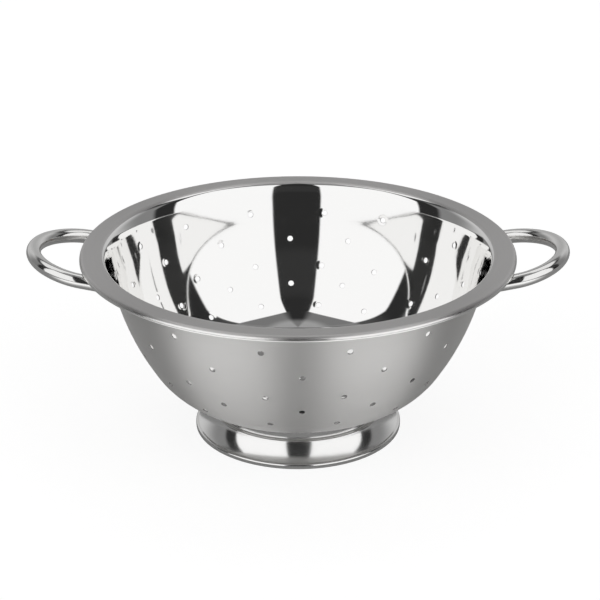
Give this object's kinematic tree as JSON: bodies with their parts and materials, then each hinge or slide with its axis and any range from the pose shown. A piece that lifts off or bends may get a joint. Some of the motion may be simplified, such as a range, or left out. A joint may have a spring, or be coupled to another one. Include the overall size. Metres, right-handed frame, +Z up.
{
  "type": "colander",
  "caption": "Stainless steel colander: a punched bowl with a wide flat rim, a flared foot ring and a bent tube loop handle on each side.",
  "frame": {"origin": "middle of the foot ring, on the surface that the colander stands on", "axes": "+Z up through the bowl's middle, +X towards one handle, so that both handles lie along X"},
  "size_m": [0.2992, 0.24, 0.11],
  "materials": {
    "bowl_steel": "mirror polished inside, satin spun outside and on the rim",
    "foot_steel": "mirror polished",
    "handle_steel": "polished tube",
    "weld_steel": "weld metal, lightly tinted"
  },
  "bodies": {
    "root": {"bowl": "bowl_steel", "foot_ring": "foot_steel", "foot_spot_welds": "weld_steel", "right_handle": "handle_steel", "right_handle_welds": "weld_steel", "left_handle": "handle_steel", "left_handle_welds": "weld_steel"}
  },
  "joints": []
}
